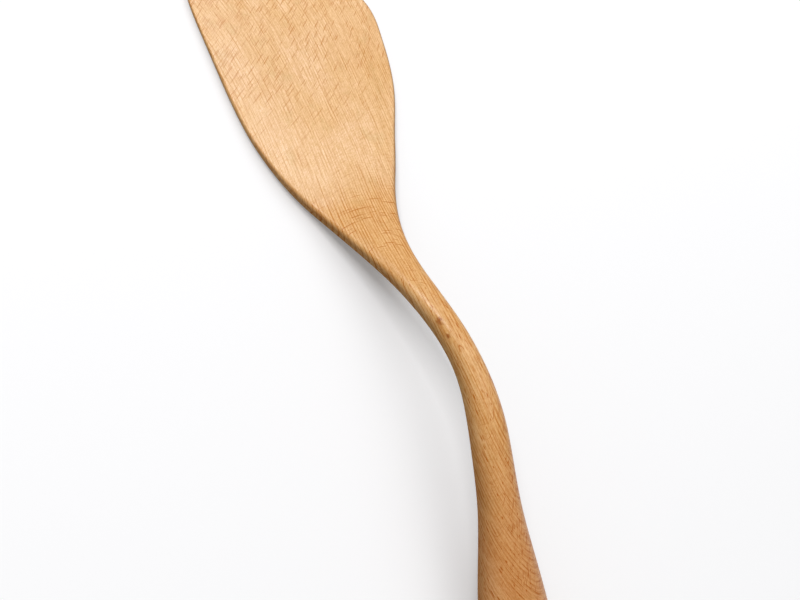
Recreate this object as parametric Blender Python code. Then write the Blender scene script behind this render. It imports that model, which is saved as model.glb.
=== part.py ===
"""Wooden spatula, carved from one board: a flat slanted blade, a raised slim neck and a swelling grip.

The spatula lies as it would on a table: the blade is flat on it, the handle rises from the blade in an
arch, and the end of the grip comes down to the table again. +Y points to the blade's front, +Z up.
"""
import math

import bmesh
import bpy
import numpy as np

# Lengths along the spatula, from the butt of the grip to the front of the blade
BUTT_LENGTH = 0.015
HANDLE_LENGTH = 0.117
NECK_LENGTH = 0.0865
BLADE_LENGTH = 0.0615
FRONT_LENGTH = 0.038

# Widths seen from above, and how far the middle line swings to either side
GRIP_WIDTH = 0.0250
NECK_WIDTH = 0.0102
BLADE_WIDTH = 0.0672
NECK_SWING = 0.0092
GRIP_SWING = 0.0054
BLADE_SWING = 0.0022

# How much further the front reaches on its long side than on its short side
FRONT_SLANT = 0.018

# Thickness of the wood, and the height of the arch's underside above the table
GRIP_DEPTH = 0.0230
NECK_DEPTH = 0.0122
BEND_DEPTH = 0.0078
BEND_SIDE_DEPTH = 0.0064
BLADE_DEPTH = 0.0048
BLADE_SIDE_DEPTH = 0.0034
FRONT_DEPTH = 0.0026
ARCH_RISE = 0.0205

# Roundness of the ends seen from above, and of the cross-sections: 2 is an ellipse, more is squarer
BUTT_FULLNESS = 2.5
LONG_CORNER_FULLNESS = 5.0
SHORT_CORNER_FULLNESS = 2.3
HANDLE_FULLNESS = 2.25
BEND_FULLNESS = 3.4
EDGE_FULLNESS = 3.2

# Steps of the mesh
ROW_STEP = 0.0042
FRONT_STEP = 0.0036
BUTT_STEP = 0.0034
RING_COUNT = 10
OUTLINE_SAMPLES = 720
MERGE_DISTANCE = 0.000001

# Linear colour of oiled beech, and how matt it is
BEECH_COLOUR = (0.62, 0.38, 0.19, 1)
BEECH_ROUGHNESS = 0.5

# Each pair is a place, as a share of a run's length, and the share that is reached there.
# Widths run from the neck's, 0, to the grip's or the blade's, 1. Swings are shares of their own size.
HANDLE_WIDTH_SHARES = ((0.00, 0.96), (0.14, 1.00), (0.45, 0.86), (0.70, 0.29), (0.90, 0.19))
NECK_WIDTH_SHARES = ((0.12, 0.00), (0.36, 0.00), (0.56, 0.04), (0.75, 0.16), (0.94, 0.38))
BLADE_WIDTH_SHARES = ((0.10, 0.56), (0.30, 0.72), (0.52, 0.87), (0.76, 0.96), (1.00, 1.00))
GRIP_SWING_SHARES = ((0.00, 0.50), (0.21, 1.00), (0.54, 0.26))
NECK_SWING_SHARES = ((-0.25, 0.53), (0.12, 0.97), (0.44, 0.57), (0.75, -0.03))
BLADE_SWING_SHARES = ((0.00, 0.82), (0.30, 0.82), (0.60, 0.18), (1.00, -0.08))
HANDLE_RISE_SHARES = ((0.00, 0.00), (0.36, 0.26), (0.68, 0.74))
NECK_RISE_SHARES = ((0.00, 1.00), (0.38, 0.80), (0.72, 0.31), (0.90, 0.07), (1.00, 0.00))
# Depths run from the neck's, 0, to the grip's, 1, and from the blade's, 0, to the bend's, 1
GRIP_DEPTH_SHARES = ((0.00, 0.93), (0.24, 1.00), (0.62, 0.44))
BEND_DEPTH_SHARES = ((0.00, 1.00), (0.50, 0.20), (1.00, 0.00))
# The cross-section turns from an oval into a flat board between these shares of the neck and the blade
BOARD_START_SHARE = 0.45
BOARD_END_SHARE = 0.15
# Share of the rings that lie on the board's flat stretch, the rest being on its round edge
FLAT_RING_SHARE = 0.5
# Widest share of the board that its round edge may take
EDGE_LIMIT_SHARE = 0.9

# Where the runs meet
HANDLE_START = BUTT_LENGTH
ARCH_TOP = HANDLE_START + HANDLE_LENGTH
BEND = ARCH_TOP + NECK_LENGTH
FRONT_START = BEND + BLADE_LENGTH


def main():
    for old in list(bpy.data.objects):
        bpy.data.objects.remove(old)
    add_object("spatula", spatula_mesh(), beech())


def add_object(name, mesh, material):
    mesh.materials.append(material)
    bpy.context.scene.collection.objects.link(bpy.data.objects.new(name, mesh))


def beech():
    material = bpy.data.materials.new("oiled_beech")
    material.use_nodes = True
    shader = material.node_tree.nodes["Principled BSDF"]
    shader.inputs["Base Color"].default_value = BEECH_COLOUR
    shader.inputs["Roughness"].default_value = BEECH_ROUGHNESS
    shader.inputs["Metallic"].default_value = 0
    return material


def smooth_curve(points, level_ends=False):
    """A function that runs smoothly through the (place, value) points, and straight on beyond them."""
    places, values = (np.array(column) for column in zip(*points))
    gaps = np.diff(places)
    rates = np.diff(values) / gaps
    system = np.identity(len(places))
    targets = np.zeros(len(places))
    if not level_ends:
        system[0, 1] = system[-1, -2] = 1 / 2
        targets[0], targets[-1] = rates[0] * 3 / 2, rates[-1] * 3 / 2
    for i in range(1, len(places) - 1):
        system[i, i - 1:i + 2] = gaps[i], 2 * (gaps[i - 1] + gaps[i]), gaps[i - 1]
        targets[i] = 3 * (gaps[i] * rates[i - 1] + gaps[i - 1] * rates[i])
    slopes = np.linalg.solve(system, targets)

    def curve(place):
        if place < places[0]:
            return values[0] + (place - places[0]) * slopes[0]
        if place > places[-1]:
            return values[-1] + (place - places[-1]) * slopes[-1]
        i = min(int(np.searchsorted(places, place, side="right")) - 1, len(gaps) - 1)
        share = (place - places[i]) / gaps[i]
        rest = 1 - share
        return (rest * rest * ((1 + 2 * share) * values[i] + share * gaps[i] * slopes[i])
                + share * share * ((1 + 2 * rest) * values[i + 1] - rest * gaps[i] * slopes[i + 1]))

    return curve


def along(start, length, shares, low, high):
    """Places each (place share, value share) pair along a run, with its value between low and high."""
    return [(start + place * length, low + value * (high - low)) for place, value in shares]


def ease(share):
    """0 before share 0, 1 after share 1, and smooth between."""
    share = min(max(share, 0), 1)
    return share * share * (3 - 2 * share)


half_width = smooth_curve(
    along(HANDLE_START, HANDLE_LENGTH, HANDLE_WIDTH_SHARES, NECK_WIDTH / 2, GRIP_WIDTH / 2)
    + along(ARCH_TOP, NECK_LENGTH, NECK_WIDTH_SHARES, NECK_WIDTH / 2, BLADE_WIDTH / 2)
    + along(BEND, BLADE_LENGTH, BLADE_WIDTH_SHARES, NECK_WIDTH / 2, BLADE_WIDTH / 2))

middle = smooth_curve(
    along(HANDLE_START, HANDLE_LENGTH, GRIP_SWING_SHARES, 0, -GRIP_SWING)
    + along(ARCH_TOP, NECK_LENGTH, NECK_SWING_SHARES, 0, NECK_SWING)
    + along(BEND, BLADE_LENGTH, BLADE_SWING_SHARES, 0, -BLADE_SWING))

underside = smooth_curve(
    along(HANDLE_START, HANDLE_LENGTH, HANDLE_RISE_SHARES, 0, ARCH_RISE)
    + along(ARCH_TOP, NECK_LENGTH, NECK_RISE_SHARES, 0, ARCH_RISE),
    level_ends=True)

depth = smooth_curve(
    along(HANDLE_START, HANDLE_LENGTH, GRIP_DEPTH_SHARES, NECK_DEPTH, GRIP_DEPTH)
    + [(ARCH_TOP, NECK_DEPTH)]
    + along(BEND, BLADE_LENGTH, BEND_DEPTH_SHARES, BLADE_DEPTH, BEND_DEPTH),
    level_ends=True)

side_depth = smooth_curve(
    [(ARCH_TOP, NECK_DEPTH)]
    + along(BEND, BLADE_LENGTH, BEND_DEPTH_SHARES, BLADE_SIDE_DEPTH, BEND_SIDE_DEPTH),
    level_ends=True)


def board_share(place):
    """0 where the cross-section is an oval, 1 where it is a flat board with round edges."""
    start = ARCH_TOP + BOARD_START_SHARE * NECK_LENGTH
    end = BEND + BOARD_END_SHARE * BLADE_LENGTH
    return ease((place - start) / (end - start))


def section_fullness(place):
    """Roundness of the oval cross-section, which grows squarer from the top of the arch to the bend."""
    return HANDLE_FULLNESS + ease((place - ARCH_TOP) / NECK_LENGTH) * (BEND_FULLNESS - HANDLE_FULLNESS)


def even_points(curve, step):
    """Points about one step apart along a finely sampled curve, without its two ends."""
    curve = np.array(curve)
    travel = np.concatenate([[0], np.cumsum(np.linalg.norm(np.diff(curve, axis=0), axis=1))])
    stops = np.linspace(0, travel[-1], round(travel[-1] / step) + 1)[1:-1]
    return [(np.interp(stop, travel, curve[:, 0]), np.interp(stop, travel, curve[:, 1])) for stop in stops]


def front_outline():
    """The front edge from the short corner round to the long one."""
    points = []
    for turn in np.linspace(0, math.pi, OUTLINE_SAMPLES + 1):
        fullness = SHORT_CORNER_FULLNESS if turn < math.pi / 2 else LONG_CORNER_FULLNESS
        across = math.copysign(abs(math.cos(turn)) ** (2 / fullness), math.cos(turn))
        forward = abs(math.sin(turn)) ** (2 / fullness) * (FRONT_LENGTH - across * FRONT_SLANT / 2)
        place = FRONT_START + forward
        points.append((middle(place) + across * half_width(place), place))
    return even_points(points, FRONT_STEP)


def butt_outline():
    """The rounded end of the grip, from its left side round to its right side."""
    points = []
    for turn in np.linspace(0, math.pi, OUTLINE_SAMPLES + 1):
        across = -math.copysign(abs(math.cos(turn)) ** (2 / BUTT_FULLNESS), math.cos(turn))
        place = HANDLE_START - math.sin(turn) ** (2 / BUTT_FULLNESS) * BUTT_LENGTH
        points.append((middle(place) + across * half_width(place), place))
    return even_points(points, BUTT_STEP)


def rays():
    """All (core, rim) pairs round the outline: each rim point with the middle point that it belongs to."""
    rows = np.linspace(HANDLE_START, FRONT_START, round((FRONT_START - HANDLE_START) / ROW_STEP) + 1)
    right = [((middle(row), row), (middle(row) + half_width(row), row)) for row in rows]
    left = [((middle(row), row), (middle(row) - half_width(row), row)) for row in rows[::-1]]
    front = [((middle(FRONT_START), FRONT_START), rim) for rim in front_outline()]
    butt = [((middle(HANDLE_START), HANDLE_START), rim) for rim in butt_outline()]
    return right + front + left + butt


def quarter_round(turn, fullness):
    """How far out, and how far down from the crest, a turn from 0 to a quarter circle comes."""
    return math.sin(turn) ** (2 / fullness), 1 - max(math.cos(turn), 0) ** (2 / fullness)


def ring_points(core, rim):
    """The top and underside points of one ray, from the core out to the rim."""
    reach = math.dist(core, rim)
    place = core[1]
    forward = ease((rim[1] - core[1]) / reach)
    thickness = depth(place)
    side_thickness = side_depth(place) + forward * (FRONT_DEPTH - side_depth(place))
    edge_share = min(side_thickness / 2 / reach, EDGE_LIMIT_SHARE)
    board = board_share(place)
    points = []
    for ring in range(RING_COUNT + 1):
        oval_out, oval_drop = quarter_round(ring / RING_COUNT * math.pi / 2, section_fullness(place))
        flat = min(ring / RING_COUNT / FLAT_RING_SHARE, 1)
        edge_turn = max(ring / RING_COUNT - FLAT_RING_SHARE, 0) / (1 - FLAT_RING_SHARE) * math.pi / 2
        edge_out, edge_drop = quarter_round(edge_turn, EDGE_FULLNESS)
        flat_out = flat * (1 - edge_share)
        board_thickness = thickness + flat_out ** 2 * (side_thickness - thickness)
        out = board * (flat_out + edge_share * edge_out) + (1 - board) * oval_out
        tall = board * board_thickness + (1 - board) * thickness
        lift = (board * board_thickness * edge_drop + (1 - board) * thickness * oval_drop) / 2
        x, y = (start + out * (end - start) for start, end in zip(core, rim))
        points.append(((x, y, underside(place) + tall - lift), (x, y, underside(place) + lift)))
    return points


def spatula_mesh():
    rows = [ring_points(core, rim) for core, rim in rays()]
    outline = np.array([row[-1][0] for row in rows])
    centre = (outline.min(axis=0) + outline.max(axis=0)) / 2
    solid = bmesh.new()
    sheets = []
    for side in (0, 1):
        sheets.append([[solid.verts.new((pair[side][0] - centre[0], pair[side][1] - centre[1],
                                         pair[side][2])) for pair in row] for row in rows])
    for sheet in sheets:
        for here, after in zip(sheet, sheet[1:] + sheet[:1]):
            for ring in range(RING_COUNT):
                solid.faces.new((here[ring], here[ring + 1], after[ring + 1], after[ring]))
    bmesh.ops.remove_doubles(solid, verts=solid.verts, dist=MERGE_DISTANCE)
    bmesh.ops.recalc_face_normals(solid, faces=solid.faces)
    mesh = bpy.data.meshes.new("spatula")
    solid.to_mesh(mesh)
    solid.free()
    mesh.shade_smooth()
    return mesh


main()
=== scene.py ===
"""The looks of a wooden spatula: its finely carved surface, the oiled beech, a pale floor and soft light."""
import math

import bmesh
import bpy
import numpy as np
from mathutils import Matrix, Vector, noise


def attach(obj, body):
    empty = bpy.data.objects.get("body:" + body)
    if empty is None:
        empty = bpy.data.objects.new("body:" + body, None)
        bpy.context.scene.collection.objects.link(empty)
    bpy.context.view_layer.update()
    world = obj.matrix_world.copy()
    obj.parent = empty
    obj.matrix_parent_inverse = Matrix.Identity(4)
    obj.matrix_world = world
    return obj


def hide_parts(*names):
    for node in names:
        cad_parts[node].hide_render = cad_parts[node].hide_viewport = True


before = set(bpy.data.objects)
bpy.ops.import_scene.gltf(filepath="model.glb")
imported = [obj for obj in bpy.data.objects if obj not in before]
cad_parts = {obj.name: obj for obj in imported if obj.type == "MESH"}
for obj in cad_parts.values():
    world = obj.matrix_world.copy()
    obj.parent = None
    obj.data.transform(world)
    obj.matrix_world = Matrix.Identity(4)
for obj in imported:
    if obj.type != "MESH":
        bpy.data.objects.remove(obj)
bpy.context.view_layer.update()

# Lengths along the spatula, from the butt of the grip to the front of the blade
BUTT_LENGTH = 0.015
HANDLE_LENGTH = 0.117
NECK_LENGTH = 0.0865
BLADE_LENGTH = 0.0615
FRONT_LENGTH = 0.038

# Widths seen from above, and how far the middle line swings to either side
GRIP_WIDTH = 0.0250
NECK_WIDTH = 0.0102
BLADE_WIDTH = 0.0672
NECK_SWING = 0.0092
GRIP_SWING = 0.0054
BLADE_SWING = 0.0022

# How much further the front reaches on its long side than on its short side
FRONT_SLANT = 0.018

# Thickness of the wood, and the height of the arch's underside above the table
GRIP_DEPTH = 0.0230
NECK_DEPTH = 0.0122
BEND_DEPTH = 0.0078
BEND_SIDE_DEPTH = 0.0064
BLADE_DEPTH = 0.0048
BLADE_SIDE_DEPTH = 0.0034
FRONT_DEPTH = 0.0026
ARCH_RISE = 0.0205

# Roundness of the ends seen from above, and of the cross-sections: 2 is an ellipse, more is squarer
BUTT_FULLNESS = 2.5
LONG_CORNER_FULLNESS = 5.0
SHORT_CORNER_FULLNESS = 2.3
HANDLE_FULLNESS = 2.25
BEND_FULLNESS = 3.4
EDGE_FULLNESS = 3.8

# Steps of the fine mesh, and how close two of its points lie that are merged
ROW_STEP = 0.0010
FRONT_STEP = 0.0009
BUTT_STEP = 0.0008
RING_COUNT = 28
OUTLINE_SAMPLES = 2880
MERGE_DISTANCE = 0.000001

# Where the mesh keeps how far each point lies on the blade's rim
RIM_LAYER = "rim"

# Shallow hollows that sanding by hand leaves, at most this deep and about this far apart
SANDING_DEPTH = 0.00012
SANDING_SPACING = 0.014

# Each pair is a place, as a share of a run's length, and the share that is reached there.
# Widths run from the neck's, 0, to the grip's or the blade's, 1. Swings are shares of their own size.
HANDLE_WIDTH_SHARES = ((0.00, 0.96), (0.14, 1.00), (0.45, 0.86), (0.70, 0.29), (0.90, 0.19))
NECK_WIDTH_SHARES = ((0.12, 0.00), (0.36, 0.00), (0.56, 0.04), (0.75, 0.16), (0.94, 0.38))
BLADE_WIDTH_SHARES = ((0.10, 0.56), (0.30, 0.72), (0.52, 0.87), (0.76, 0.96), (1.00, 1.00))
GRIP_SWING_SHARES = ((0.00, 0.50), (0.21, 1.00), (0.54, 0.26))
NECK_SWING_SHARES = ((-0.25, 0.53), (0.12, 0.97), (0.44, 0.57), (0.75, -0.03))
BLADE_SWING_SHARES = ((0.00, 0.82), (0.30, 0.82), (0.60, 0.18), (1.00, -0.08))
HANDLE_RISE_SHARES = ((0.00, 0.00), (0.36, 0.26), (0.68, 0.74))
NECK_RISE_SHARES = ((0.00, 1.00), (0.38, 0.80), (0.72, 0.31), (0.90, 0.07), (1.00, 0.00))
# Depths run from the neck's, 0, to the grip's, 1, and from the blade's, 0, to the bend's, 1
GRIP_DEPTH_SHARES = ((0.00, 0.93), (0.24, 1.00), (0.62, 0.44))
BEND_DEPTH_SHARES = ((0.00, 1.00), (0.50, 0.20), (1.00, 0.00))
# The cross-section turns from an oval into a flat board between these shares of the neck and the blade
BOARD_START_SHARE = 0.45
BOARD_END_SHARE = 0.15
# Share of the mesh's rings that lie on the board's flat stretch, the rest being on its round edge
FLAT_RING_SHARE = 0.5
# Widest share of the board that its round edge may take
EDGE_LIMIT_SHARE = 0.9

# The wood's grain: where its frame is centred, how it tilts and rolls, and how it winds and bows per metre
GRAIN_CENTRE = (0.0, 0.080, 0.005)
GRAIN_TILT = math.radians(-9.7)
GRAIN_ROLL = math.radians(-7.6)
GRAIN_TWIST = math.radians(289)
GRAIN_BOW = 2.0

# Least sine of the angle at which the surface is taken to cut the rays
MIN_STEEPNESS = 0.10

# How far the grain swings sideways with the neck, and between which places along the fibres
GRAIN_SWING = 0.0094
GRAIN_SWING_START = 0.030
GRAIN_SWING_END = 0.110

# Between these places along the fibres, from the blade to the bend, rays grow rare and ring lines strong,
# and the wood takes a darker, more golden painted shade, for the sheen that only the flat blade catches
BEND_GRAIN_START = 0.010
BEND_GRAIN_END = 0.035

# Growth rings: their spacing at the middle, how strongly they crowd together further right, how far they
# wander, in rings, and over which lengths. All sizes in the wood are given across its rings, across its
# rays and along its fibres.
RING_SPACING = 0.00100
RING_CROWDING = 2900
RING_WANDER = 1.3
RING_WANDER_SIZES = (0.006, 0.020, 0.060)

# Where in each ring, as a share of it, its dark line rises and falls, and how strong the faintest line is
LINE_RISE_SHARES = (0.50, 0.88)
LINE_FALL_SHARES = (0.91, 1.00)
FAINTEST_LINE = 0.50

# Where the ring lines break up: over which lengths, between which noise levels, and how much of them
# is left there on the blade and on the neck
BREAK_SIZES = (0.0009, 0.0050, 0.0030)
BREAK_LEVELS = (0.33, 0.62)
BROKEN_LINES = (0.65, 0.10)

# Noise varies round this level. A mark made by noise starts at its first level and is full at its second.
NOISE_MIDDLE = 0.5

# Fine streaks between the rings, and fibres
STREAK_SIZES = (0.00028, 0.0040, 0.0120)
STREAK_LEVELS = (0.42, 0.64)
STREAK_STRENGTH = 0.42
FIBRE_SIZES = (0.00026, 0.00060, 0.00260)
FIBRE_LEVELS = (0.35, 0.65)

# Ray flecks: how far apart they lie, and how long, wide and tall they are, the width as seen on the surface.
# The higher their rarity, the fewer of them show, and thinning is what the bend adds to it.
LARGE_RAY_SPACINGS = (0.0150, 0.00060, 0.0070)
LARGE_RAY_SIZES = (0.0135, 0.00074, 0.0058)
LARGE_RAY_RARITY = 0.30
LARGE_RAY_THINNING = 0.43
SMALL_RAY_SPACINGS = (0.0068, 0.00036, 0.0040)
SMALL_RAY_SIZES = (0.0065, 0.00048, 0.0034)
SMALL_RAY_RARITY = 0.44
SMALL_RAY_THINNING = 0.12

# The flecks lie in layers, each shifted against the last by shares of their spacing
RAY_LAYERS = 2
LAYER_SHIFT = (0.37, 0.71, 0.53)

# How strong the ray flecks and the ring lines are on the blade and from the bend on
RAY_STRENGTHS = (0.62, 0.95)
RING_STRENGTHS = (0.46, 1.00)

# Between these steepnesses the flecks of the blade fade to a share where the surface runs along the rays
FADING_STEEPNESSES = (0.22, 0.40)
FADED_RAY_SHARE = 0.35

# Spindles: how randomly they lie in their cells, the smallest one's share of the largest, the share of each
# that is at full strength, and how far above the rarity its chance has to lie for that
CELL_RANDOMNESS = 0.8
SMALLEST_SPINDLE_SHARE = 0.6
SPINDLE_CORE_SHARE = 0.5
RARITY_SPREAD = 0.35

# Very fine rays between the flecks
FINE_RAY_SIZES = (0.0016, 0.00013, 0.0007)
FINE_RAY_LEVELS = (0.48, 0.66)
FINE_RAY_STRENGTH = 0.6

# Dashes that rays make along the fibres where the neck cuts them square, coming in between two places
DASH_SPACINGS = (0.0011, 0.0011, 0.0042)
DASH_SIZES = (0.00064, 0.00064, 0.0040)
DASH_RARITY = 0.3
DASH_START = 0.040
DASH_END = 0.075

# Pores, patches of tone and faint stains
PORE_SIZES = (0.00016, 0.00016, 0.0010)
PORE_LEVELS = (0.60, 0.76)
PORE_STRENGTH = 0.35
TONE_SIZES = (0.014, 0.014, 0.030)
TONE_LEVELS = (0.38, 0.62)
STAIN_SIZES = (0.007, 0.012, 0.008)
STAIN_LEVELS = (0.54, 0.72)

# Between these places along the fibres the wood is painted darker and redder towards the grip: painted shade
GRIP_SHADE_START = 0.085
GRIP_SHADE_END = 0.160

# Two pin knots on the neck, each a place and a radius, with edges that noise makes ragged.
# Within the core share of its reach, a spot in the wood is full.
KNOTS = (((0.0044, -0.0008, 0.0274), 0.0019), ((0.0051, -0.0064, 0.0287), 0.0012))
KNOT_EDGE_SIZES = (0.0007, 0.0007, 0.0012)
KNOT_RAGGEDNESS = 1.6
KNOT_CORE_SHARE = 0.15

# A darker, amber patch on the blade's right side, painted shade where the lamp's sheen falls off, and its
# reach
AMBER_SHADE_PLACE = (0.034, 0.106, 0.004)
AMBER_SHADE_REACH = 0.030
AMBER_SHADE_CORE_SHARE = 0.4

# The blade's rim is painted warmer and darker as shade, fully from this share of its rounding on. The
# painted shade is deep on the right, from this far past the middle on, and on the left it deepens a little
# between two places along the fibres.
RIM_FULL_SHARE = 0.8
RIM_SHADE_REACH = 0.010
LEFT_RIM_START = -0.030
LEFT_RIM_END = 0.015
LEFT_RIM_SHADE = 0.20

# Linear colours of the wood, and the tints that multiply them. The bend, grip and rim tints, and the amber
# tint where it fills the amber patch, are painted shade.
EARLY_WOOD = (0.893, 0.634, 0.390)
LATE_WOOD = (0.61, 0.275, 0.060)
RAY_WOOD = (0.50, 0.165, 0.008)
KNOT_WOOD = (0.37, 0.12, 0.015)
PALE_TINT = (1.005, 0.99, 0.99)
AMBER_TINT = (0.955, 0.905, 0.80)
FIBRE_TINT = (0.90, 0.83, 0.69)
STAIN_TINT = (0.93, 0.93, 0.88)
BEND_SHADE_TINT = (0.87, 0.777, 0.60)
GRIP_SHADE_TINT = (0.85, 0.71, 0.63)
WARM_RIM_SHADE_TINT = (1.0, 0.90, 0.72)
DEEP_RIM_SHADE_TINT = (0.48, 0.48, 0.50)

# Oil finish: how strongly the wood mirrors, how rough it is where it faces down and where it faces up,
# between which shares of facing up that changes, and how much the fibres vary it
WOOD_SPECULAR = 0.22
UNDERSIDE_ROUGHNESS = 0.85
WOOD_ROUGHNESS = 0.28
FACING_UP_SHARES = (0.10, 0.75)
ROUGHNESS_SPREAD = 0.15

# Depth of the relief, and how much rings and fibres raise it and pores lower it
RELIEF_DEPTH = 0.000010
RING_RELIEF = 0.5
FIBRE_RELIEF = 0.6
PORE_RELIEF = 0.8

# Camera: the picture's width and focal length in pixels, its sensor in millimetres, where it aims and
# from how far, how it swings, leans and rolls round that, and the nearest that it sees
PICTURE_WIDTH = 800
FOCAL_PIXELS = 700
SENSOR_WIDTH = 36
CAMERA_AIM = Vector((-0.00012, 0.01214, 0.010))
CAMERA_DISTANCE = 0.2512
CAMERA_SWING = math.radians(18)
CAMERA_LEAN = math.radians(6)
CAMERA_ROLL = math.radians(20.56)
CAMERA_NEAR = 0.01

# Plain white, for the floor's glow and the sky
WHITE = (1, 1, 1, 1)

# Floor: its colour as it is seen and as it lights the wood, and its glow, which rises to white further out
FLOOR_SIZE = 6.0
FLOOR_GAP = 0.0002
FLOOR_ROUGHNESS = 0.9
FLOOR_SPECULAR = 0.1
FLOOR_COLOUR = (0.77, 0.77, 0.78)
FLOOR_BOUNCE_COLOUR = (0.23, 0.23, 0.23)
FLOOR_GLOW = 0.17
FLOOR_FADE_START = 0.40
FLOOR_FADE_END = 1.10

# Lamps and sky
LIGHT_AIM = Vector((0.0, 0.04, 0.0))
WINDOW_PLACE = Vector((-0.28, 1.00, 1.62))
WINDOW_SIZE = (0.72, 0.42)
WINDOW_POWER = 19
FILL_PLACE = Vector((0.84, 0.70, 1.74))
FILL_SIZE = (1.70, 1.70)
FILL_POWER = 19.5
SKY_STRENGTH = 0.31

# Where the runs meet
HANDLE_START = BUTT_LENGTH
ARCH_TOP = HANDLE_START + HANDLE_LENGTH
BEND = ARCH_TOP + NECK_LENGTH
FRONT_START = BEND + BLADE_LENGTH


def smooth_curve(points, level_ends=False):
    """A function that runs smoothly through the (place, value) points, and straight on beyond them."""
    places, values = (np.array(column) for column in zip(*points))
    gaps = np.diff(places)
    rates = np.diff(values) / gaps
    system = np.identity(len(places))
    targets = np.zeros(len(places))
    if not level_ends:
        system[0, 1] = system[-1, -2] = 1 / 2
        targets[0], targets[-1] = rates[0] * 3 / 2, rates[-1] * 3 / 2
    for i in range(1, len(places) - 1):
        system[i, i - 1:i + 2] = gaps[i], 2 * (gaps[i - 1] + gaps[i]), gaps[i - 1]
        targets[i] = 3 * (gaps[i] * rates[i - 1] + gaps[i - 1] * rates[i])
    slopes = np.linalg.solve(system, targets)

    def curve(place):
        i = np.clip(np.searchsorted(places, place, side="right") - 1, 0, len(gaps) - 1)
        share = np.clip((place - places[i]) / gaps[i], 0, 1)
        rest = 1 - share
        inside = (rest * rest * ((1 + 2 * share) * values[i] + share * gaps[i] * slopes[i])
                  + share * share * ((1 + 2 * rest) * values[i + 1] - rest * gaps[i] * slopes[i + 1]))
        return (inside + np.minimum(place - places[0], 0) * slopes[0]
                + np.maximum(place - places[-1], 0) * slopes[-1])

    return curve


def along(start, length, shares, low, high):
    """Places each (place share, value share) pair along a run, with its value between low and high."""
    return [(start + place * length, low + value * (high - low)) for place, value in shares]


def ease(share):
    """0 before share 0, 1 after share 1, and smooth between."""
    share = np.clip(share, 0, 1)
    return share * share * (3 - 2 * share)


half_width = smooth_curve(
    along(HANDLE_START, HANDLE_LENGTH, HANDLE_WIDTH_SHARES, NECK_WIDTH / 2, GRIP_WIDTH / 2)
    + along(ARCH_TOP, NECK_LENGTH, NECK_WIDTH_SHARES, NECK_WIDTH / 2, BLADE_WIDTH / 2)
    + along(BEND, BLADE_LENGTH, BLADE_WIDTH_SHARES, NECK_WIDTH / 2, BLADE_WIDTH / 2))

middle = smooth_curve(
    along(HANDLE_START, HANDLE_LENGTH, GRIP_SWING_SHARES, 0, -GRIP_SWING)
    + along(ARCH_TOP, NECK_LENGTH, NECK_SWING_SHARES, 0, NECK_SWING)
    + along(BEND, BLADE_LENGTH, BLADE_SWING_SHARES, 0, -BLADE_SWING))

underside = smooth_curve(
    along(HANDLE_START, HANDLE_LENGTH, HANDLE_RISE_SHARES, 0, ARCH_RISE)
    + along(ARCH_TOP, NECK_LENGTH, NECK_RISE_SHARES, 0, ARCH_RISE),
    level_ends=True)

depth = smooth_curve(
    along(HANDLE_START, HANDLE_LENGTH, GRIP_DEPTH_SHARES, NECK_DEPTH, GRIP_DEPTH)
    + [(ARCH_TOP, NECK_DEPTH)]
    + along(BEND, BLADE_LENGTH, BEND_DEPTH_SHARES, BLADE_DEPTH, BEND_DEPTH),
    level_ends=True)

side_depth = smooth_curve(
    [(ARCH_TOP, NECK_DEPTH)]
    + along(BEND, BLADE_LENGTH, BEND_DEPTH_SHARES, BLADE_SIDE_DEPTH, BEND_SIDE_DEPTH),
    level_ends=True)


def even_points(curve, step):
    """Points about one step apart along a finely sampled curve, without its two ends."""
    travel = np.concatenate([[0], np.cumsum(np.linalg.norm(np.diff(curve, axis=0), axis=1))])
    stops = np.linspace(0, travel[-1], round(travel[-1] / step) + 1)[1:-1]
    return np.stack([np.interp(stops, travel, curve[:, axis]) for axis in (0, 1)], axis=1)


def signed_power(value, power):
    return np.sign(value) * np.abs(value) ** power


def front_outline():
    """The front edge from the short corner round to the long one."""
    turn = np.linspace(0, math.pi, OUTLINE_SAMPLES + 1)
    power = 2 / np.where(turn < math.pi / 2, SHORT_CORNER_FULLNESS, LONG_CORNER_FULLNESS)
    across = signed_power(np.cos(turn), power)
    place = FRONT_START + np.abs(np.sin(turn)) ** power * (FRONT_LENGTH - across * FRONT_SLANT / 2)
    return even_points(np.stack([middle(place) + across * half_width(place), place], axis=1), FRONT_STEP)


def butt_outline():
    """The rounded end of the grip, from its left side round to its right side."""
    turn = np.linspace(0, math.pi, OUTLINE_SAMPLES + 1)
    across = -signed_power(np.cos(turn), 2 / BUTT_FULLNESS)
    place = HANDLE_START - np.abs(np.sin(turn)) ** (2 / BUTT_FULLNESS) * BUTT_LENGTH
    return even_points(np.stack([middle(place) + across * half_width(place), place], axis=1), BUTT_STEP)


def cores_and_rims():
    """The two ends, on the middle line and on the outline, of each spoke that runs between them."""
    rows = np.linspace(HANDLE_START, FRONT_START, round((FRONT_START - HANDLE_START) / ROW_STEP) + 1)
    cores = np.stack([middle(rows), rows], axis=1)
    reach = np.stack([half_width(rows), 0 * rows], axis=1)
    front, butt = front_outline(), butt_outline()
    all_cores = [cores, np.repeat(cores[-1:], len(front), axis=0), cores[::-1],
                 np.repeat(cores[:1], len(butt), axis=0)]
    return np.concatenate(all_cores), np.concatenate([cores + reach, front, (cores - reach)[::-1], butt])


def quarter_round(turn, fullness):
    """How far out, and how far down from the crest, a turn from 0 to a quarter circle comes."""
    return math.sin(turn) ** (2 / fullness), 1 - max(math.cos(turn), 0) ** (2 / fullness)


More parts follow.
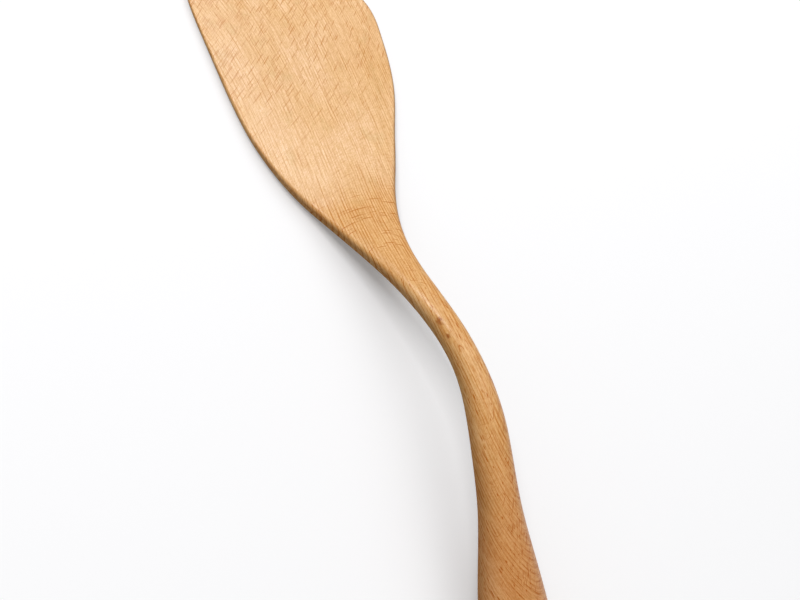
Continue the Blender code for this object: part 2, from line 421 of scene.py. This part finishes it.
def carved_surface():
    """Top and underside as grids of points from the middle line out, and how far each lies on a thin rim."""
    cores, rims = cores_and_rims()
    reach = np.linalg.norm(rims - cores, axis=1)
    place = cores[:, 1]
    forward = ease((rims[:, 1] - place) / reach)
    thickness = depth(place)
    side_thickness = side_depth(place) + forward * (FRONT_DEPTH - side_depth(place))
    edge_share = np.minimum(side_thickness / 2 / reach, EDGE_LIMIT_SHARE)
    board_start = ARCH_TOP + BOARD_START_SHARE * NECK_LENGTH
    board_end = BEND + BOARD_END_SHARE * BLADE_LENGTH
    board = ease((place - board_start) / (board_end - board_start))
    fullness = HANDLE_FULLNESS + ease((place - ARCH_TOP) / NECK_LENGTH) * (BEND_FULLNESS - HANDLE_FULLNESS)
    grids, rims_reached = ([], []), []
    for ring in np.linspace(0, 1, RING_COUNT + 1):
        oval_out, oval_drop = quarter_round(ring * math.pi / 2, fullness)
        flat_out = min(ring / FLAT_RING_SHARE, 1) * (1 - edge_share)
        edge_turn = max(ring - FLAT_RING_SHARE, 0) / (1 - FLAT_RING_SHARE) * math.pi / 2
        edge_out, edge_drop = quarter_round(edge_turn, EDGE_FULLNESS)
        board_thickness = thickness + flat_out ** 2 * (side_thickness - thickness)
        out = board * (flat_out + edge_share * edge_out) + (1 - board) * oval_out
        tall = board * board_thickness + (1 - board) * thickness
        lift = (board * board_thickness * edge_drop + (1 - board) * thickness * oval_drop) / 2
        flat_points = cores + out[:, None] * (rims - cores)
        rims_reached.append(board * math.sin(edge_turn))
        for grid, height in zip(grids, (underside(place) + tall - lift, underside(place) + lift)):
            grid.append(np.column_stack([flat_points, height]))
    shift = np.append((rims.min(axis=0) + rims.max(axis=0)) / 2, 0)
    return [np.stack(grid, axis=1) - shift for grid in grids], np.stack(rims_reached, axis=1)


def wood_mesh():
    """The carved surface as one closed mesh, sanded by hand."""
    solid = bmesh.new()
    rim_layer = solid.verts.layers.float.new(RIM_LAYER)
    grids, rim_shares = carved_surface()
    for grid in grids:
        rows = [[solid.verts.new(point) for point in row] for row in grid]
        for row, shares in zip(rows, rim_shares):
            for vertex, share in zip(row, shares):
                vertex[rim_layer] = share
        for here, after in zip(rows, rows[1:] + rows[:1]):
            for ring in range(RING_COUNT):
                solid.faces.new((here[ring], here[ring + 1], after[ring + 1], after[ring]))
    bmesh.ops.remove_doubles(solid, verts=solid.verts, dist=MERGE_DISTANCE)
    bmesh.ops.recalc_face_normals(solid, faces=solid.faces)
    sand_by_hand(solid)
    mesh = bpy.data.meshes.new("spatula_wood")
    solid.to_mesh(mesh)
    solid.free()
    mesh.shade_smooth()
    return mesh


def sand_by_hand(solid):
    """Lowers the surface by shallow, uneven hollows, but not the flat underside that it rests on."""
    solid.normal_update()
    moves = []
    for vertex in solid.verts:
        unevenness = (1 + noise.noise(vertex.co / SANDING_SPACING)) / 2
        moves.append(vertex.normal * SANDING_DEPTH * unevenness * min(1, 1 + vertex.normal.z))
    for vertex, move in zip(solid.verts, moves):
        vertex.co -= move


class Signal:
    """A value that varies over a surface or the sky. Its arithmetic makes Math nodes."""

    def __init__(self, tree, socket):
        self.tree = tree
        self.socket = socket

    def math(self, operation, *others):
        node = self.tree.nodes.new("ShaderNodeMath")
        node.operation = operation
        for slot, value in zip(node.inputs, (self, *others)):
            feed(self.tree, slot, value)
        return Signal(self.tree, node.outputs[0])

    def __add__(self, other):
        return self.math("ADD", other)

    def __sub__(self, other):
        return self.math("SUBTRACT", other)

    def __mul__(self, other):
        return self.math("MULTIPLY", other)

    def __truediv__(self, other):
        return self.math("DIVIDE", other)

    def remap(self, low, high, to_low=0.0, to_high=1.0):
        """Runs smoothly from to_low, where this signal is low, to to_high, where it is high."""
        node = self.tree.nodes.new("ShaderNodeMapRange")
        node.interpolation_type = "SMOOTHSTEP"
        for name, value in zip(("Value", "From Min", "From Max", "To Min", "To Max"),
                               (self, low, high, to_low, to_high)):
            feed(self.tree, node.inputs[name], value)
        return Signal(self.tree, node.outputs["Result"])


def feed(tree, slot, value):
    if isinstance(value, Signal):
        tree.links.new(value.socket, slot)
    else:
        slot.default_value = value


def vector(tree, *parts):
    node = tree.nodes.new("ShaderNodeCombineXYZ")
    for slot, part in zip(node.inputs, parts):
        feed(tree, slot, part)
    return Signal(tree, node.outputs[0])


def vector_math(operation, first, *others, output=0):
    node = first.tree.nodes.new("ShaderNodeVectorMath")
    node.operation = operation
    for slot, value in zip(node.inputs, (first, *others)):
        feed(first.tree, slot, value)
    return Signal(first.tree, node.outputs[output])


def mix(tree, share, first, second, blend="MIX"):
    """A colour that goes from first to second, or to their blend, as share goes from 0 to 1."""
    node = tree.nodes.new("ShaderNodeMix")
    node.data_type = "RGBA"
    node.blend_type = blend
    colours = [slot for slot in node.inputs if slot.type == "RGBA"]
    feed(tree, node.inputs[0], share)
    for slot, colour in zip(colours, (first, second)):
        feed(tree, slot, colour if isinstance(colour, Signal) else (*colour, 1))
    return Signal(tree, next(slot for slot in node.outputs if slot.type == "RGBA"))


def random_of(number):
    """A random value from 0 to 1 that stays the same for the same number."""
    node = number.tree.nodes.new("ShaderNodeTexWhiteNoise")
    node.noise_dimensions = "1D"
    feed(number.tree, node.inputs["W"], number)
    return Signal(number.tree, node.outputs["Value"])


class Grain:
    """The wood's own coordinates in metres: across its rings, across its rays and along its fibres.

    Its steepness is least where the surface runs along the rays and 1 where it cuts square through them,
    and upwards is how far the surface faces up, from -1 to 1.
    """

    def __init__(self, tree):
        self.tree = tree
        fibre_axis = Vector((0, -math.cos(GRAIN_TILT), math.sin(GRAIN_TILT)))
        ring_axis = Matrix.Rotation(GRAIN_ROLL, 3, fibre_axis) @ Vector((1, 0, 0))
        ray_axis = fibre_axis.cross(ring_axis)
        coordinates = tree.nodes.new("ShaderNodeTexCoord")
        self.place = Signal(tree, coordinates.outputs["Object"])
        local = vector_math("SUBTRACT", self.place, GRAIN_CENTRE)
        ring, ray, self.fibre = (vector_math("DOT_PRODUCT", local, axis, output="Value")
                                 for axis in (ring_axis, ray_axis, fibre_axis))
        ray = ray - self.fibre * self.fibre * GRAIN_BOW
        ring = ring - self.fibre.remap(GRAIN_SWING_START, GRAIN_SWING_END, 0, GRAIN_SWING)
        turn = self.fibre * GRAIN_TWIST
        sine, cosine = turn.math("SINE"), turn.math("COSINE")
        self.ring = ring * cosine + ray * sine
        self.ray = ray * cosine - ring * sine
        geometry = tree.nodes.new("ShaderNodeNewGeometry")
        normal = Signal(tree, geometry.outputs["Normal"])
        facing_ring, facing_ray, facing_fibre = (vector_math("DOT_PRODUCT", normal, axis, output="Value")
                                                 for axis in (ring_axis, ray_axis, fibre_axis))
        facing = facing_ray * cosine - facing_ring * sine - facing_fibre * self.fibre * (2 * GRAIN_BOW)
        self.steepness = (facing * facing * -1 + 1).math("MAXIMUM", MIN_STEEPNESS ** 2).math("SQRT")
        self.upwards = vector_math("DOT_PRODUCT", normal, (0, 0, 1), output="Value")

    def scaled(self, sizes):
        """The place in the wood, counted in sizes across the rings, across the rays and along the fibres."""
        parts = zip((self.ring, self.ray, self.fibre), sizes)
        return vector(self.tree, *(part / size for part, size in parts))

    def noise(self, sizes, detail=2.0, roughness=0.5):
        """Smooth noise with features of these sizes."""
        node = self.tree.nodes.new("ShaderNodeTexNoise")
        feed(self.tree, node.inputs["Vector"], self.scaled(sizes))
        node.inputs["Scale"].default_value = 1
        node.inputs["Detail"].default_value = detail
        node.inputs["Roughness"].default_value = roughness
        return Signal(self.tree, node.outputs["Fac"])


def ring_lines(grain):
    """0 in the pale wood of each growth ring, rising to the dark line that ends it."""
    wander = (grain.noise(RING_WANDER_SIZES) - NOISE_MIDDLE) * RING_WANDER
    count = grain.ring / RING_SPACING + grain.ring * grain.ring * RING_CROWDING + wander
    share = count.math("FRACT")
    line = share.remap(*LINE_RISE_SHARES) - share.remap(*LINE_FALL_SHARES)
    strength = random_of(count.math("FLOOR")).remap(0, 1, FAINTEST_LINE, 1)
    broken = grain.fibre.remap(DASH_START, DASH_END, *BROKEN_LINES)
    return line * strength * grain.noise(BREAK_SIZES).remap(*BREAK_LEVELS, broken, 1)


def ray_flecks(grain, spacings, sizes, rarity):
    """Thin spindles that stand across the rings, fewer of them where the rarity is higher."""
    long, wide, tall = sizes
    flecks = 0
    for layer in range(RAY_LAYERS):
        shift = Vector(LAYER_SHIFT) * layer
        layer_flecks = spindles(grain, spacings, (long, grain.steepness * wide, tall), shift, rarity)
        flecks = layer_flecks.math("MAXIMUM", flecks)
    return flecks


def spindles(grain, spacings, sizes, shift, rarity):
    """One spindle in each cell of the wood, of the given sizes at most, by chance smaller or fainter."""
    node = grain.tree.nodes.new("ShaderNodeTexVoronoi")
    place = vector_math("ADD", grain.scaled(spacings), shift)
    feed(grain.tree, node.inputs["Vector"], place)
    node.inputs["Scale"].default_value = 1
    node.inputs["Randomness"].default_value = CELL_RANDOMNESS
    offset = vector_math("SUBTRACT", place, Signal(grain.tree, node.outputs["Position"]))
    offset = vector_math("MULTIPLY", offset, [2 * spacing for spacing in spacings])
    offset = vector_math("DIVIDE", offset, vector(grain.tree, *sizes))
    distance = vector_math("LENGTH", offset, output="Value")
    chance = grain.tree.nodes.new("ShaderNodeSeparateColor")
    feed(grain.tree, chance.inputs[0], Signal(grain.tree, node.outputs["Color"]))
    strength, reach = (Signal(grain.tree, chance.outputs[name]) for name in ("Red", "Green"))
    distance = distance / reach.remap(0, 1, SMALLEST_SPINDLE_SHARE, 1)
    return distance.remap(1, SPINDLE_CORE_SHARE) * strength.remap(rarity, rarity + RARITY_SPREAD)


def wood_rays(grain, bend):
    """Large and small flecks on the blade, rarer from the bend on, and dashes on the neck."""
    large = ray_flecks(grain, LARGE_RAY_SPACINGS, LARGE_RAY_SIZES,
                       bend * LARGE_RAY_THINNING + LARGE_RAY_RARITY)
    small = ray_flecks(grain, SMALL_RAY_SPACINGS, SMALL_RAY_SIZES,
                       bend * SMALL_RAY_THINNING + SMALL_RAY_RARITY)
    clear = grain.steepness.remap(*FADING_STEEPNESSES, FADED_RAY_SHARE, 1).math("MAXIMUM", bend)
    flecks = large.math("MAXIMUM", small) * bend.remap(0, 1, *RAY_STRENGTHS) * clear
    dashes = spindles(grain, DASH_SPACINGS, DASH_SIZES, (0, 0, 0), DASH_RARITY)
    return flecks.math("MAXIMUM", dashes * grain.fibre.remap(DASH_START, DASH_END))


def spot(grain, place, reach, core_share, unevenness):
    """1 near a place and 0 beyond its reach, with an edge that the unevenness shifts in and out."""
    distance = vector_math("DISTANCE", grain.place, place, output="Value") / reach
    return (distance + unevenness).remap(1, core_share)


def pin_knots(grain):
    ragged = (grain.noise(KNOT_EDGE_SIZES) - NOISE_MIDDLE) * KNOT_RAGGEDNESS
    marks = 0
    for place, radius in KNOTS:
        marks = spot(grain, place, radius, KNOT_CORE_SHARE, ragged) + marks
    return marks


def blade_rim(grain):
    """How far a place lies on the blade's rim, and how deep the painted shade on the rim is there."""
    node = grain.tree.nodes.new("ShaderNodeAttribute")
    node.attribute_name = RIM_LAYER
    rim = Signal(grain.tree, node.outputs["Fac"]).remap(0, RIM_FULL_SHARE)
    across = vector_math("DOT_PRODUCT", grain.place, (1, 0, 0), output="Value")
    left_rim_shade = grain.fibre.remap(LEFT_RIM_START, LEFT_RIM_END, 0, LEFT_RIM_SHADE)
    return rim, rim * across.remap(-RIM_SHADE_REACH, RIM_SHADE_REACH, left_rim_shade, 1)


def tinted(tree, share, colour, tint):
    """The colour, multiplied by a tint where share is 1."""
    return mix(tree, share, colour, tint, "MULTIPLY")


def oiled_beech():
    """Dark lines, rays and marks on pale wood, tinted from place to place and given painted shade, under a
    satin oil finish.
    """
    material = bpy.data.materials.new("oiled_beech")
    material.use_nodes = True
    tree = material.node_tree
    shader = tree.nodes["Principled BSDF"]
    grain = Grain(tree)
    rings = ring_lines(grain)
    streaks = grain.noise(STREAK_SIZES, detail=1).remap(*STREAK_LEVELS)
    fibres = grain.noise(FIBRE_SIZES, detail=1, roughness=0.6)
    fine_rays = grain.noise(FINE_RAY_SIZES, detail=0).remap(*FINE_RAY_LEVELS)
    pores = grain.noise(PORE_SIZES, detail=0).remap(*PORE_LEVELS)
    tone = grain.noise(TONE_SIZES)
    stain = grain.noise(STAIN_SIZES, detail=3).remap(*STAIN_LEVELS)
    bend = grain.fibre.remap(BEND_GRAIN_START, BEND_GRAIN_END)
    # An amber patch of painted shade on the blade's right side
    amber_shade = spot(grain, AMBER_SHADE_PLACE, AMBER_SHADE_REACH, AMBER_SHADE_CORE_SHARE, tone - NOISE_MIDDLE)
    # Painted shade, darker and redder towards the grip
    grip_shade = grain.fibre.remap(GRIP_SHADE_START, GRIP_SHADE_END)
    # The rim's warm tint and its deeper tint are painted shade
    rim, rim_shade_share = blade_rim(grain)

    lines = rings * bend.remap(0, 1, *RING_STRENGTHS) + streaks * STREAK_STRENGTH
    colour = mix(tree, lines, EARLY_WOOD, LATE_WOOD)
    colour = tinted(tree, 1, colour, mix(tree, tone.remap(*TONE_LEVELS), PALE_TINT, AMBER_TINT))
    for share, tint in ((amber_shade, AMBER_TINT), (stain, STAIN_TINT), (fibres.remap(*FIBRE_LEVELS), FIBRE_TINT),
                        (fine_rays * FINE_RAY_STRENGTH, FIBRE_TINT)):
        colour = tinted(tree, share, colour, tint)
    for share, mark in ((wood_rays(grain, bend), RAY_WOOD), (pores * PORE_STRENGTH, RAY_WOOD),
                        (pin_knots(grain), KNOT_WOOD)):
        colour = mix(tree, share, colour, mark)
    # The bend, grip and rim tints are painted shade
    for share, tint in ((bend, BEND_SHADE_TINT), (grip_shade, GRIP_SHADE_TINT), (rim, WARM_RIM_SHADE_TINT),
                        (rim_shade_share, DEEP_RIM_SHADE_TINT)):
        colour = tinted(tree, share, colour, tint)
    tree.links.new(colour.socket, shader.inputs["Base Color"])

    roughness = grain.upwards.remap(*FACING_UP_SHARES, UNDERSIDE_ROUGHNESS, WOOD_ROUGHNESS)
    roughness = roughness + (fibres - NOISE_MIDDLE) * ROUGHNESS_SPREAD
    tree.links.new(roughness.socket, shader.inputs["Roughness"])
    shader.inputs["Specular IOR Level"].default_value = WOOD_SPECULAR

    relief = rings * RING_RELIEF + fibres * FIBRE_RELIEF - pores * PORE_RELIEF
    bump = tree.nodes.new("ShaderNodeBump")
    bump.inputs["Distance"].default_value = RELIEF_DEPTH
    tree.links.new(relief.socket, bump.inputs["Height"])
    tree.links.new(bump.outputs["Normal"], shader.inputs["Normal"])
    return material


def add_wood():
    mesh = wood_mesh()
    mesh.materials.append(oiled_beech())
    wood = bpy.data.objects.new("spatula_wood", mesh)
    bpy.context.scene.collection.objects.link(wood)
    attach(wood, "root")
    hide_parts("spatula")


def seen_directly(tree):
    """1 for what the camera, a gloss or glass looks at, and 0 for what lights the wood."""
    path = tree.nodes.new("ShaderNodeLightPath")
    camera, glossy, through = (Signal(tree, path.outputs[name]) for name in
                               ("Is Camera Ray", "Is Glossy Ray", "Is Transmission Ray"))
    return camera.math("MAXIMUM", glossy).math("MAXIMUM", through)


def add_floor():
    mesh = bpy.data.meshes.new("floor")
    reach = FLOOR_SIZE / 2
    corners = [(x * reach, y * reach, -FLOOR_GAP) for x, y in ((-1, -1), (1, -1), (1, 1), (-1, 1))]
    mesh.from_pydata(corners, [], [(0, 1, 2, 3)])
    material = bpy.data.materials.new("pale_floor")
    material.use_nodes = True
    tree = material.node_tree
    shader = tree.nodes["Principled BSDF"]
    seen = seen_directly(tree)
    tree.links.new(mix(tree, seen, FLOOR_BOUNCE_COLOUR, FLOOR_COLOUR).socket, shader.inputs["Base Color"])
    shader.inputs["Roughness"].default_value = FLOOR_ROUGHNESS
    shader.inputs["Specular IOR Level"].default_value = FLOOR_SPECULAR
    shader.inputs["Emission Color"].default_value = WHITE
    coordinates = tree.nodes.new("ShaderNodeTexCoord")
    distance = vector_math("LENGTH", Signal(tree, coordinates.outputs["Object"]), output="Value")
    glow = seen * distance.remap(FLOOR_FADE_START, FLOOR_FADE_END, FLOOR_GLOW, 1)
    tree.links.new(glow.socket, shader.inputs["Emission Strength"])
    mesh.materials.append(material)
    floor = bpy.data.objects.new("floor", mesh)
    bpy.context.scene.collection.objects.link(floor)


def add_sky():
    world = bpy.data.worlds.new("sky")
    bpy.context.scene.world = world
    world.use_nodes = True
    tree = world.node_tree
    background = tree.nodes["Background"]
    background.inputs["Color"].default_value = WHITE
    tree.links.new(seen_directly(tree).remap(0, 1, SKY_STRENGTH, 1).socket, background.inputs["Strength"])


def add_light(name, place, size, power):
    light = bpy.data.lights.new(name, "AREA")
    light.shape = "RECTANGLE"
    light.size, light.size_y = size
    light.energy = power
    lamp = bpy.data.objects.new(name, light)
    lamp.location = place
    lamp.rotation_euler = (LIGHT_AIM - place).to_track_quat("-Z", "Y").to_euler()
    bpy.context.scene.collection.objects.link(lamp)


def add_camera():
    """Looks down on the spatula from a little to its left."""
    back = Vector((-math.sin(CAMERA_SWING), -math.sin(CAMERA_LEAN), 0))
    back.z = math.sqrt(1 - back.length_squared)
    up = (Vector((0, 1, 0)) - back * back.y).normalized()
    upright = Matrix((up.cross(back), up, back)).transposed().to_4x4()
    data = bpy.data.cameras.new("camera")
    data.sensor_width = SENSOR_WIDTH
    data.lens = SENSOR_WIDTH * FOCAL_PIXELS / PICTURE_WIDTH
    data.clip_start = CAMERA_NEAR
    camera = bpy.data.objects.new("camera", data)
    camera.matrix_world = (Matrix.Translation(CAMERA_AIM + back * CAMERA_DISTANCE) @ upright
                           @ Matrix.Rotation(-CAMERA_ROLL, 4, "Z"))
    bpy.context.scene.collection.objects.link(camera)
    bpy.context.scene.camera = camera


add_camera()
add_sky()
add_floor()
add_light("window", WINDOW_PLACE, WINDOW_SIZE, WINDOW_POWER)
add_light("fill", FILL_PLACE, FILL_SIZE, FILL_POWER)
add_wood()
bpy.context.scene.view_settings.view_transform = "Standard"
